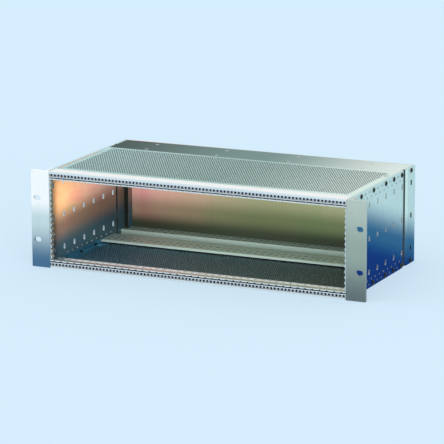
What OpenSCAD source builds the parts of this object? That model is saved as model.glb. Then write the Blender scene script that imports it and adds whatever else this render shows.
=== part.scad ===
// Shielded 3U card cage for a 19 inch rack, empty, with perforated covers.
// X is across the rack, Y runs from the flanges to the back and Z is up. The
// origin is in the middle of the base. Each module is written with y = 0 on the
// front face of the flanges and z = 0 on the base, and for the right-hand or
// the lower piece of a pair; the other one is its mirror image.

/* [Front flanges] */
// Width over both flanges
panel_w = 482.6; // [476:0.1:490]
// Height of the flanges and of the whole cage
panel_h = 132.5; // [125:0.5:180]
// Thickness of the flange
flange_t = 4; // [3:0.5:6]
// Distance between the left and the right mounting slots
slot_span_x = 465.1; // [461:0.1:468]
// Distance between the lower and the upper mounting slots
slot_span_z = 57.15; // [40:0.05:76.2]
// Length of a mounting slot, end to end
mount_slot_l = 10.5; // [9:0.5:12]
// Width of a mounting slot
mount_slot_w = 7; // [6:0.1:8]
// Depth of the leg that lies on the side plate
leg_d = 22; // [18:1:30]
// Thickness of that leg
leg_t = 2.5; // [2:0.5:4]

/* [Body] */
// Width between the side plates
inner_w = 428; // [420:1:432]
// Depth over everything
depth = 235; // [235:1:355]
// Thickness of the side plates
side_t = 4; // [3:0.5:4]
// Depth of the separate rear corner brackets
rear_section = 33; // [30:1:50]
// Width of the joint between side plate and rear bracket
joint_w = 6; // [4:0.5:8]
// Length of the bevel on both sides of that joint
bevel_l = 6; // [4:0.5:6]
// Depth of that bevel
bevel_d = 1.5; // [1:0.1:2]
// Width of the post on the inside of a rear bracket
post_w = 7; // [6:0.5:10]
// Depth of that post
post_d = 12; // [10:0.5:16]
// Thickness of the rear panel
rear_t = 2; // [1.9:0.1:3]

/* [Side plate openings] */
// Distance of the first cooling slot and of the front screws from the front
slot_start = 12; // [11:0.5:13]
// Distance between the cooling slots
slot_pitch = 29.2; // [24:0.1:34]
// Distance between the three rows of cooling slots
slot_rows = 45; // [36:0.5:46]
// Width of a cooling slot
slot_w = 4.8; // [4:0.1:6]
// Height of a cooling slot
slot_h = 8; // [7:0.5:10]
// Distance of the first fixing hole from the front
hole_start = 42.2; // [38:0.1:42.2]
// Distance between the fixing holes
hole_pitch = 14.4; // [14:0.05:14.4]
// Distance between the outer row and the inner row of fixing holes
hole_rows = 6.75; // [6.5:0.05:8]
// Height of the outer row over the base
screw_row = 4.5; // [4.3:0.1:4.7]

/* [Rails] */
// Width of one card place
card_pitch = 5.08; // [5.05:0.01:5.08]
// Number of card places
card_places = 84; // [42:2:84]
// Depth of a front rail
rail_d = 24; // [23:0.5:28]
// Height of a front rail
rail_h = 11; // [10.6:0.1:12]
// Height of the threaded holes over the base
thread_row = 5; // [4.9:0.05:5.1]
// Height of the opening that shows the threaded strip
strip_window = 3.8; // [3.2:0.1:4]
// Height of the threaded strip
strip_h = 4.6; // [4.4:0.1:4.8]
// Thickness of the threaded strip
strip_t = 3; // [2.5:0.1:3.5]
// Diameter of the threaded holes
thread_d = 3; // [2.5:0.1:3]
// Height of a middle rail over the base
middle_h = 6.8; // [6.7:0.1:8]
// Depth of a rear rail
rear_rail_d = 22; // [20:0.5:24]
// Height of a rear rail over the base
rear_rail_h = 8.5; // [7.5:0.1:10]

/* [Covers] */
// Thickness of the cover sheets
sheet_t = 1.5; // [1.3:0.1:1.6]
// Height of the lips folded up along the side plates
lip_h = 9; // [7.5:0.1:9.2]
// Outer radius of that fold
fold_r = 2.4; // [2.2:0.1:2.8]
// Plain margin of a perforated cover along the side plates
side_margin = 8.5; // [7:0.5:14]
// Distance between the middles of the holes
perf_pitch = 13.4; // [13:0.1:16]
// Diameter of the holes
perf_d = 9.2; // [7:0.1:10]

/* [Screws] */
// Thread diameter of the side and flange screws
screw_d = 3; // [2.6:0.1:3]
// Diameter of their button heads
head_d = 6.9; // [6:0.1:6.9]
// Height of their button heads
head_h = 1.9; // [1.6:0.1:2.2]
// Length of the screws that hold the rails
rail_screw_l = 14; // [12:0.5:16]
// Length of the screws that hold the cover lips
lip_screw_l = 8; // [7:0.5:10]
// Thread diameter of the countersunk screws
flat_d = 2.5; // [2.2:0.1:2.6]
// Length of the countersunk screws
flat_l = 6; // [5:0.5:6]

/* [Clearances] */
// Room around a screw in a plain hole, on the radius
hole_fit = 0.1; // [0.05:0.05:0.2]
// Room around a screw in a threaded hole, on the radius
thread_fit = 0.03; // [0.02:0.01:0.05]
// Room along the edges of sheets and strips
sheet_fit = 0.1; // [0.05:0.05:0.2]

/* [Hidden] */
$fn = 48;
mid_z = panel_h / 2;
body_x = inner_w / 2;
plate_x = body_x + side_t;
// Each flange laps over the front edge of the side plate, up to this far from its inside
flange_lap = 0.35;
flange_x = body_x + flange_lap;

// Depths, from the front
plate_end = depth - rear_section - joint_w;
bracket_y = depth - rear_section;
panel_y = depth - rear_t;
rear_rail_y = panel_y - rear_rail_d;
rear_screw_in = 10;
rear_screw_y = rear_rail_y + rear_screw_in;
flat_end = plate_end - bevel_l;

// Screws stand in every third fixing hole, and the middle rail in the last ones
hole_n = floor((flat_end - screw_d - hole_start) / hole_pitch);
lip_screws = [for (k = [0:3:hole_n - 4]) hole_start + k * hole_pitch];
middle_screws = [for (k = [hole_n - 2, hole_n]) hole_start + k * hole_pitch];
// From its screws to the front and to the back of the middle rail
middle_front = 7.4;
middle_back = 4.8;
middle_y = middle_screws[0] - middle_front;
middle_d = middle_screws[1] - middle_screws[0] + middle_front + middle_back;
side_screws_y = concat(lip_screws, middle_screws, [rear_screw_y]);
leg_screws_z = [mid_z - slot_rows / 2, mid_z + slot_rows / 2];

// Front rail section: the block round the threaded strip, and the shelf behind it
wall = 1.4;
block_d = 9;
foot_t = 2.2;
boss_d = 6;
groove_h = 1.5;
groove_d = 5;
rail_lip = 1.6;
shelf_t = 1.4;
shelf_drop = 0.2;
rebate_d = 4;
seat_t = 1.9;
end_wall = 2;

// Places for card guides: a notch in the lip and a slot in the shelf for each
guide_pitch = 2 * card_pitch;
guide_n = floor(card_places / 2);
notch_w = 2.4;
notch_d = 3;
notch_h = 1;
shelf_slot_w = 3.2;
shelf_slot_d = 5;
shelf_slot_back = 2.5;
shelf_slot_z = 3;
bore_spare = 2;
bore_l = rail_screw_l - side_t + bore_spare;

// Middle and rear rails: guide slots over a pocket, and a rebate for the cover
guide_slot_w = 6;
guide_slot_d = 2.2;
guide_floor = 2;
pocket_in = 9.9;
pocket_d = 13;
pocket_h = 2.4;
row_in = 1.6;
toe_d = 1.6;
toe_h = 2.2;
rear_slot_depth = 1.6;
rear_rows_in = [5, rear_rail_d - 6];

// Covers
cover_y = rail_d - rebate_d + sheet_fit;
// How far the perforated cover reaches under the middle rail
cover_reach = 27.47;
cover_end = middle_y + cover_reach;
cover_x = body_x - sheet_fit;
lip_gap_front = 2;
lip_gap_back = 4;
lip_y = rail_d + lip_gap_front;
lip_end = middle_y - lip_gap_back;
perf_gap_front = 4;
perf_gap_back = 5;
perf_y = rail_d + perf_gap_front;
perf_end = cover_end - perf_gap_back;
perf_x = body_x - side_margin;
row_step = perf_pitch * sin(60);

// Button heads: the share of the width that is domed, the rim and the hexagon socket
dome_share = 0.76;
rim_h = 0.5;
hexagon_share = 0.77;
hexagon_depth = 1.1;

// Countersunk screws
flat_hexagon_share = 0.8;
flat_hexagon_depth = 0.9;
flat_head_d = 2 * flat_d;
flat_head_h = flat_d / 2;
cover_screws_x = [for (k = [-1.5:1:1.5]) k * inner_w / 4];
panel_screws_x = [for (k = [-2:1:2]) k * inner_w / 5];
post_x = body_x - post_w / 2;
post_screws_z = [mid_z - inner_w / 12, mid_z + inner_w / 12];

// The screws through leg and side plate end this far before its inside
screw_short = 0.5;

// Contact strip, between the rails
contact_t = 0.8;
contact_d = 8;
contact_in = 0.5;
finger_pitch = 7.3;
finger_n = floor((panel_h - 2 * rail_h - 2 * contact_in) / finger_pitch);
finger_l = 5.4;
finger_rise = 1.5;
finger_in = 0.7;
finger_d = 6;

// Shielding strip: how far it stays below the bevel
strip_drop = 0.5;

// How far pieces that are joined overlap, and how far a cut runs past a face
e = 0.01;
past = 1;

// Frames ---------------------------------------------------------------

// Moves a piece drawn from the front face to the cage's own origin
module placed() {
    translate([0, -depth / 2, 0]) children();
}

module left() {
    mirror([1, 0, 0]) children();
}

module top() {
    translate([0, 0, panel_h]) mirror([0, 0, 1]) children();
}

module both_ends() {
    children();
    left() children();
}

// Runs a section drawn in (y, z) from one side plate to the other
module along_x(length) {
    translate([-length / 2, 0, 0]) rotate([90, 0, 90])
        linear_extrude(length) children();
}

// A bar with round ends, upright by default, drawn in two dimensions
module oblong(w, l) {
    for (s = [-1, 1]) translate([0, s * (l - w) / 2]) circle(d = w);
    square([w, l - w], center = true);
}

// A round hole or pin along X
module pin_x(d, l) {
    rotate([0, 90, 0]) cylinder(d = d, h = l);
}

// Screws ---------------------------------------------------------------

// Button head screw along -X: the head's underside is at x = 0
module button_screw(l) {
    dome_d = head_d * dome_share;
    dome_r = (pow(dome_d / 2, 2) + pow(head_h - rim_h, 2)) / (2 * (head_h - rim_h));
    rotate([0, 90, 0]) difference() {
        rotate_extrude() {
            square([head_d / 2, rim_h]);
            intersection() {
                translate([0, head_h - dome_r]) circle(r = dome_r);
                translate([0, rim_h - e]) square([dome_d / 2, head_h]);
            }
            translate([0, -l]) square([screw_d / 2, l + e]);
        }
        translate([0, 0, head_h - hexagon_depth])
            cylinder(d = screw_d * hexagon_share, h = 2 * past, $fn = 6);
    }
}

// Countersunk screw along -Z: the flat head is at z = 0
module flat_screw() {
    difference() {
        union() {
            translate([0, 0, -flat_head_h])
                cylinder(d1 = flat_d, d2 = flat_head_d - 2 * hole_fit, h = flat_head_h);
            translate([0, 0, -flat_l]) cylinder(d = flat_d, h = flat_l - flat_head_h + e);
        }
        translate([0, 0, -flat_hexagon_depth])
            cylinder(d = flat_d * flat_hexagon_share, h = 2 * past, $fn = 6);
    }
}

// The hole and countersink for one of them, through a sheet of thickness t
module flat_hole(t) {
    translate([0, 0, -t - past]) cylinder(d = flat_d + 2 * hole_fit, h = t + 2 * past);
    translate([0, 0, -flat_head_h])
        cylinder(d1 = flat_d + 2 * hole_fit, d2 = flat_head_d, h = flat_head_h);
    cylinder(d = flat_head_d, h = past);
}

// Front flanges --------------------------------------------------------

// Angle: the slotted face in front and the leg on the side plate's outside
module flange() {
    color("lightsteelblue") difference() {
        union() {
            translate([flange_x, 0, 0])
                cube([panel_w / 2 - flange_x, flange_t, panel_h]);
            translate([plate_x, 0, 0]) cube([leg_t, leg_d, panel_h]);
        }
        for (s = [-1, 1])
            translate([slot_span_x / 2, -past, mid_z + s * slot_span_z / 2])
                rotate([-90, 90, 0]) linear_extrude(flange_t + 2 * past)
                    oblong(mount_slot_w, mount_slot_l);
        for (z = concat([screw_row, panel_h - screw_row], leg_screws_z))
            translate([plate_x - past, slot_start, z])
                pin_x(screw_d + 2 * hole_fit, leg_t + 2 * past);
    }
}

// Row of sprung fingers on the inner face of the side plate, at the front
module contact_strip() {
    finger_r = (pow(finger_l / 2, 2) + pow(finger_rise, 2)) / (2 * finger_rise);
    x_in = body_x - contact_t;
    z_start = mid_z - finger_n * finger_pitch / 2;
    color("gainsboro") union() {
        translate([x_in, contact_in, z_start])
            cube([contact_t, contact_d, finger_n * finger_pitch]);
        for (k = [0:finger_n - 1])
            intersection() {
                translate([
                    x_in - finger_rise + finger_r, contact_in + finger_in,
                    z_start + (k + 0.5) * finger_pitch
                ]) rotate([-90, 0, 0]) cylinder(r = finger_r, h = finger_d);
                translate([x_in - finger_rise - past, 0, z_start + k * finger_pitch])
                    cube([finger_rise + past + contact_t / 2, contact_d + 2 * past, finger_pitch]);
            }
    }
}

// Side plates and rear brackets ---------------------------------------

module cooling_slot(y, z) {
    translate([body_x, y, z]) rotate([90, 0, 90])
        linear_extrude(side_t + past) oblong(slot_w, slot_h);
}

// Plan of the plate with its rear outer edge bevelled
module side_plate() {
    slot_n = floor((flat_end - slot_w / 2 - slot_start) / slot_pitch);
    color("powderblue") difference() {
        linear_extrude(panel_h) polygon([
            [body_x, flange_t], [plate_x, flange_t], [plate_x, flat_end],
            [plate_x - bevel_d, plate_end], [body_x, plate_end]
        ]);
        for (k = [0:slot_n], row = [-1:1])
            cooling_slot(slot_start + k * slot_pitch, mid_z + row * slot_rows);
        for (z = [screw_row, panel_h - screw_row]) {
            for (y = concat([slot_start], [for (k = [0:hole_n]) hole_start + k * hole_pitch]))
                translate([body_x - past, y, z])
                    pin_x(screw_d + 2 * hole_fit, side_t + 2 * past);
            inner_z = z < mid_z ? z + hole_rows : z - hole_rows;
            for (k = [0:hole_n - 1])
                translate([body_x - past, hole_start + (k + 0.5) * hole_pitch, inner_z])
                    pin_x(screw_d + 2 * hole_fit, side_t + 2 * past);
        }
        for (z = leg_screws_z)
            translate([body_x - past, slot_start, z])
                pin_x(screw_d + 2 * thread_fit, side_t + 2 * past);
    }
}

// Shielding strip let into the joint behind the side plate
module joint_strip() {
    color("darkslategray") translate([body_x, plate_end + sheet_fit, 0])
        cube([side_t - bevel_d - strip_drop, joint_w - 2 * sheet_fit, panel_h]);
}

// Corner profile: a web in line with the side plate, and a post on its inside
module rear_bracket() {
    post_z = rear_rail_h + sheet_fit;
    color("cadetblue") difference() {
        union() {
            linear_extrude(panel_h) polygon([
                [body_x, bracket_y], [plate_x - bevel_d, bracket_y],
                [plate_x, bracket_y + bevel_l], [plate_x, depth], [body_x, depth]
            ]);
            translate([body_x - post_w, panel_y - post_d, post_z])
                cube([post_w + e, post_d, panel_h - 2 * post_z]);
        }
        for (row = [-1:1]) cooling_slot(rear_screw_y, mid_z + row * slot_rows);
        for (z = [screw_row, panel_h - screw_row])
            translate([body_x - past, rear_screw_y, z])
                pin_x(screw_d + 2 * hole_fit, side_t + 2 * past);
        for (z = post_screws_z)
            translate([post_x, panel_y + past, z]) rotate([90, 0, 0])
                cylinder(d = flat_d + 2 * thread_fit, h = flat_l + past);
    }
}

// Rails ----------------------------------------------------------------

// Section of a front rail: a channel for the threaded strip in front, a groove
// and a lip above it, a screw boss, and a slotted shelf that ends in a wall
module front_rail_section() {
    window_z = thread_row - strip_window / 2;
    shelf_z = rail_h - rail_lip - groove_h - shelf_t - shelf_drop;
    difference() {
        union() {
            square([block_d, rail_h]);
            square([rail_d - rebate_d, foot_t]);
            translate([block_d - e, 0]) square([boss_d, shelf_z + shelf_t]);
            translate([block_d - e, shelf_z]) square([rail_d - block_d, shelf_t]);
            translate([rail_d - rebate_d - e, sheet_t + sheet_fit]) square([rebate_d, seat_t]);
            translate([rail_d - end_wall, sheet_t + sheet_fit])
                square([end_wall, rail_h - rail_lip - sheet_t]);
        }
        translate([wall, thread_row - strip_h / 2 - sheet_fit])
            square([strip_t + 2 * sheet_fit, strip_h + 2 * sheet_fit]);
        translate([-past, window_z]) square([past + wall + sheet_fit, strip_window]);
        translate([-past, rail_h - rail_lip - groove_h]) square([past + groove_d, groove_h]);
    }
}

module end_bores(ys) {
    for (y = ys)
        both_ends() translate([body_x - bore_l, y, screw_row])
            pin_x(screw_d + 2 * thread_fit, bore_l + past);
}

module front_rail() {
    color("whitesmoke") difference() {
        along_x(inner_w) front_rail_section();
        for (k = [0:guide_n - 1]) {
            x = (k - (guide_n - 1) / 2) * guide_pitch;
            translate([x - notch_w / 2, -past, rail_h - rail_lip - e])
                cube([notch_w, past + notch_d, notch_h]);
            translate([
                x - shelf_slot_w / 2, rail_d - shelf_slot_back - shelf_slot_d, shelf_slot_z
            ]) cube([shelf_slot_w, shelf_slot_d, rail_h]);
        }
        end_bores([slot_start]);
    }
}

module threaded_strip() {
    color("silver") difference() {
        translate([sheet_fit - body_x, wall + sheet_fit, thread_row - strip_h / 2])
            cube([inner_w - 2 * sheet_fit, strip_t, strip_h]);
        for (k = [0:card_places - 1])
            translate([(k - (card_places - 1) / 2) * card_pitch, 0, thread_row])
                rotate([-90, 0, 0]) cylinder(d = thread_d, h = wall + strip_t + past, $fn = 24);
    }
}

// Wide rail behind the cards: two rows of guide slots over a long pocket
module middle_rail() {
    pocket_y = middle_y + pocket_in;
    color("lightcyan") difference() {
        along_x(inner_w) difference() {
            translate([middle_y, sheet_t]) square([middle_d, middle_h - sheet_t]);
            translate([pocket_y, sheet_t - past]) square([pocket_d, past + pocket_h]);
            translate([middle_y - past, sheet_t - past]) square([past + toe_d, past + toe_h]);
        }
        slot_row(pocket_y + row_in);
        slot_row(pocket_y + pocket_d - row_in);
        end_bores(middle_screws);
        for (x = cover_screws_x)
            translate([x, middle_screws[1], 0]) cylinder(d = flat_d + 2 * thread_fit, h = flat_l);
    }
}

// Guide slots cut down from above along a line at depth y
module slot_row(y) {
    for (k = [0:guide_n - 1])
        translate([
            (k - (guide_n - 1) / 2) * guide_pitch - guide_slot_w / 2,
            y - guide_slot_d / 2, sheet_t + guide_floor
        ]) cube([guide_slot_w, guide_slot_d, rail_h]);
}

module rear_rail() {
    color("lightcyan") difference() {
        translate([-body_x, rear_rail_y, sheet_t])
            cube([inner_w, rear_rail_d, rear_rail_h - sheet_t]);
        for (y = rear_rows_in)
            translate([0, rear_rail_y, rear_rail_h - rear_slot_depth - sheet_t - guide_floor])
                slot_row(y);
        end_bores([rear_screw_y]);
        for (x = panel_screws_x)
            translate([x, panel_y + past, screw_row]) rotate([90, 0, 0])
                cylinder(d = flat_d + 2 * thread_fit, h = flat_l + past);
        for (x = cover_screws_x)
            translate([x, rear_screw_y, 0]) cylinder(d = flat_d + 2 * thread_fit, h = flat_l);
    }
}

// Covers ---------------------------------------------------------------

// Half of the folded section: a flat that turns up into a lip
module lip_section() {
    translate([cover_x - sheet_t, fold_r]) square([sheet_t, lip_h - fold_r]);
    translate([cover_x - 4 * sheet_t, 0]) square([4 * sheet_t - fold_r, sheet_t]);
    translate([cover_x - fold_r, fold_r]) intersection() {
        difference() {
            circle(r = fold_r);
            circle(r = fold_r - sheet_t);
        }
        translate([0, -fold_r]) square(fold_r);
    }
}

// Round holes in staggered rows, 60 degrees apart
module perforation() {
    rows = floor((perf_end - perf_y - perf_d) / row_step);
    cols = floor((2 * perf_x - perf_d) / perf_pitch);
    y_first = (perf_y + perf_end - rows * row_step) / 2;
    for (r = [0:rows]) {
        n = r % 2 == 0 ? cols : cols - 1;
        for (c = [0:n])
            translate([(c - n / 2) * perf_pitch, y_first + r * row_step]) circle(d = perf_d);
    }
}

module perforated_cover() {
    color("darkgray") difference() {
        union() {
            linear_extrude(sheet_t) difference() {
                union() {
                    translate([-cover_x, cover_y]) square([2 * cover_x, lip_y - cover_y]);
                    translate([fold_r - cover_x, lip_y - e])
                        square([2 * (cover_x - fold_r), lip_end - lip_y + 2 * e]);
                    translate([-cover_x, lip_end]) square([2 * cover_x, cover_end - lip_end]);
                }
                perforation();
            }
            both_ends() translate([0, lip_end, 0]) rotate([90, 0, 0])
                linear_extrude(lip_end - lip_y) lip_section();
        }
        for (y = lip_screws)
            both_ends() translate([body_x - 2 * fold_r, y, screw_row])
                pin_x(screw_d + 2 * hole_fit, 3 * fold_r);
    }
}

module rear_cover() {
    color("dimgray") difference() {
        translate([-cover_x, cover_end + sheet_fit, 0])
            cube([2 * cover_x, panel_y - cover_end - sheet_fit, sheet_t]);
        for (x = cover_screws_x, y = [middle_screws[1], rear_screw_y])
            translate([x, y, 0]) mirror([0, 0, 1]) flat_hole(sheet_t);
    }
}

module rear_panel() {
    color("darkkhaki") difference() {
        translate([-cover_x, panel_y, 0]) cube([2 * cover_x, rear_t, panel_h]);
        panel_screw_places() flat_hole(rear_t);
    }
}

// Stands its children on the back of the rear panel, at each of its screws
module panel_screw_places() {
    for (x = panel_screws_x, z = [screw_row, panel_h - screw_row])
        translate([x, depth, z]) rotate([-90, 0, 0]) children();
    for (s = [-1, 1], z = post_screws_z)
        translate([s * post_x, depth, z]) rotate([-90, 0, 0]) children();
}

// Fasteners ------------------------------------------------------------

module flange_screws() {
    color("dimgray") {
        for (z = [screw_row, panel_h - screw_row])
            translate([plate_x + leg_t, slot_start, z]) button_screw(rail_screw_l);
        for (z = leg_screws_z)
            translate([plate_x + leg_t, slot_start, z]) button_screw(leg_t + side_t - screw_short);
    }
}

module side_screws() {
    color("black") for (y = side_screws_y, z = [screw_row, panel_h - screw_row])
        translate([plate_x, y, z])
            button_screw(y < middle_y ? lip_screw_l : rail_screw_l);
}

module cover_screws() {
    color("silver") for (x = cover_screws_x, y = [middle_screws[1], rear_screw_y])
        translate([x, y, 0]) mirror([0, 0, 1]) flat_screw();
}

module panel_screws() {
    color("silver") panel_screw_places() flat_screw();
}

// Nodes ----------------------------------------------------------------

placed() left() flange();  // flange_left
placed() flange();  // flange_right
placed() left() contact_strip();  // contact_strip_left
placed() contact_strip();  // contact_strip_right
placed() left() side_plate();  // side_plate_left
placed() side_plate();  // side_plate_right
placed() left() joint_strip();  // joint_strip_left
placed() joint_strip();  // joint_strip_right
placed() left() rear_bracket();  // rear_bracket_left
placed() rear_bracket();  // rear_bracket_right
placed() front_rail();  // front_rail_bottom
placed() top() front_rail();  // front_rail_top
placed() threaded_strip();  // threaded_strip_bottom
placed() top() threaded_strip();  // threaded_strip_top
placed() middle_rail();  // middle_rail_bottom
placed() top() middle_rail();  // middle_rail_top
placed() rear_rail();  // rear_rail_bottom
placed() top() rear_rail();  // rear_rail_top
placed() perforated_cover();  // perforated_cover_bottom
placed() top() perforated_cover();  // perforated_cover_top
placed() rear_cover();  // rear_cover_bottom
placed() top() rear_cover();  // rear_cover_top
placed() rear_panel();
placed() left() flange_screws();  // flange_screws_left
placed() flange_screws();  // flange_screws_right
placed() left() side_screws();  // side_screws_left
placed() side_screws();  // side_screws_right
placed() cover_screws();  // cover_screws_bottom
placed() top() cover_screws();  // cover_screws_top
placed() panel_screws();
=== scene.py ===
"""Finishes, fine perforation and studio for a shielded 19 inch card cage."""

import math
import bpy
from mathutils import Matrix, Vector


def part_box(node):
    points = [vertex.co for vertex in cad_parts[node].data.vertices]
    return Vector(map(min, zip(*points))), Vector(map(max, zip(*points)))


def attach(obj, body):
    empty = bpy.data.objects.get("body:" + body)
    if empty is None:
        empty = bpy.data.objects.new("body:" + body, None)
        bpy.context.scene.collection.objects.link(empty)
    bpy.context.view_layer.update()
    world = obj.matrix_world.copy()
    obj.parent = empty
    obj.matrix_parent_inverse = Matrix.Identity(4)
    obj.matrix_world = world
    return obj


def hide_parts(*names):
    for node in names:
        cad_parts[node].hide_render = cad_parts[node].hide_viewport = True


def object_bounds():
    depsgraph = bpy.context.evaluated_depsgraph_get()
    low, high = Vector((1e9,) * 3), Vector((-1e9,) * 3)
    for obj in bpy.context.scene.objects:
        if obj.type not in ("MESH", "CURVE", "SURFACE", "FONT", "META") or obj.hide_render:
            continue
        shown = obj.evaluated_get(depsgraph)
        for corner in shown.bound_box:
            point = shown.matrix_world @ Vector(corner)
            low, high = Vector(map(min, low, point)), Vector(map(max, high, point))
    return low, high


bl_info = {
    "name": "Subrack card cage finish",
    "version": (1, 0, 0),
    "blender": (4, 5, 0),
    "location": "View3D > Sidebar > Card cage",
    "description": "Dresses the packed card cage with metal finishes and perforated covers",
    "category": "Object",
}

import bpy
import numpy as np
from mathutils import Matrix, Vector

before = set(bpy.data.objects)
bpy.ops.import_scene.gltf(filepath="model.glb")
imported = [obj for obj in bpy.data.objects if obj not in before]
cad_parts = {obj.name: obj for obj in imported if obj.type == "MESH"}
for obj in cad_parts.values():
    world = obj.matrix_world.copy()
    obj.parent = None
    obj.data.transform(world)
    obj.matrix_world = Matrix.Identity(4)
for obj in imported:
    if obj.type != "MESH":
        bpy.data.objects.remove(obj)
CAD_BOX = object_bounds()
SIDES = ("left", "right")
LEVELS = ("bottom", "top")
MM = 0.001

# How metallic bare metal and the half matt chromate film are
BARE_METALLIC = 0.9
FILM_METALLIC = 0.15
# The tint that grazing light takes on the satin covers and on the side plates
COVER_TINT = (0.62, 0.7, 0.68)
SIDE_TINT = (0.35, 0.5, 0.7)
# The part of the brushing's range that shows, and what it does to the roughness
SCRATCH_RANGE = (0.3, 0.7)
ROUGHER, SMOOTHER = 0.06, 0.04
# Painted highlight along the edges, and how much of it shows
EDGE_HIGHLIGHT = (0.86, 0.9, 0.9)
EDGE_HIGHLIGHT_SHARE = 0.5
# What the clouds of the film multiply its colour by, and the painted shade that multiplies the rear
# panel's colour half way down
FILM_PINK, FILM_GREEN = (1.0, 0.72, 0.86), (0.8, 1.0, 0.84)
PANEL_SHADE_WAIST = (0.38, 0.46, 0.38)
# Screw holes in a lip, and the lines that divide a lip, its fold and an edge of the covers
LIP_SCREWS = 3
LIP_LINES, FOLD_LINES, EDGE_POINTS = 25, 6, 60
# Where the channel and the groove of a front rail lie, which carry painted shade: behind its face, and
# from its outer side
CHANNEL_DEPTHS = (0.2 * MM, 5.2 * MM)
CHANNEL_HEIGHTS = (2.5 * MM, 9.5 * MM)
# How far inside a rail's own faces the walls of its slots begin
SLOT_INSET = 0.3 * MM

# Directions from the cage to the far lamps, and how wide those look
KEY_DIRECTION = (-0.5, -0.5, 1.0)
FRONT_DIRECTION = (0.7, -1.0, 0.02)
LAMP_ANGLE = math.radians(50)
# Half width of the floor, the share of its colour that takes light, and how bright the lamps make it
FLOOR_REACH = 40.0
FLOOR_LIT = 0.3
FLOOR_LIGHT = 1.18


def srgb(red, green, blue):
    """Screen values from 0 to 255 as the linear values that a shader takes."""
    screen = np.array([red, green, blue]) / 255
    linear = np.where(screen > 0.04045, ((screen + 0.055) / 1.055) ** 2.4, screen / 12.92)
    return tuple(float(v) for v in linear)


def colour(name, description, *screen):
    """A colour that the user can change, given by its screen values."""
    return bpy.props.FloatVectorProperty(
        name=name, description=description, default=srgb(*screen),
        subtype="COLOR", size=3, min=0.0, max=1.0,
    )


def length(name, description, default, low=0.0):
    """A length in metres that the user can change."""
    return bpy.props.FloatProperty(
        name=name, description=description, default=default, min=low, unit="LENGTH", precision=5
    )


# Sizes and colours -----------------------------------------------------------


class CageSizes(bpy.types.PropertyGroup):
    """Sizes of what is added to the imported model."""

    hole_pitch: length("Hole pitch", "Distance between holes of the perforation", 0.0035, 0.002)
    hole_size: length("Hole size", "Width of a hole over its corners", 0.0026, 0.0005)
    side_margin: length("Side margin", "Plain margin along the side plates", 0.0085)
    front_margin: length("Front margin", "Plain margin at the front edge", 0.008)
    back_margin: length("Back margin", "Plain margin at the back edge", 0.005)
    sheet: length("Sheet", "Thickness of the cover sheets", 0.0015, 0.0005)
    fold: length("Fold", "Outer radius of the fold of a lip", 0.0024, 0.0016)
    lip_height: length("Lip height", "Height of a folded lip", 0.009)
    lip_front: length("Lip front", "From the front edge of the cover to a lip", 0.0059)
    lip_back: length("Lip back", "From a lip to the back edge of the cover", 0.03147)
    lip_hole: length("Lip hole", "Diameter of the screw holes in a lip", 0.0032)
    screw_height: length("Screw height", "From the base to those holes", 0.0045)
    first_screw: length("First screw", "From the front edge of the cover to the first hole", 0.0221)
    screw_step: length("Screw step", "Distance between those holes", 0.0432)


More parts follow.
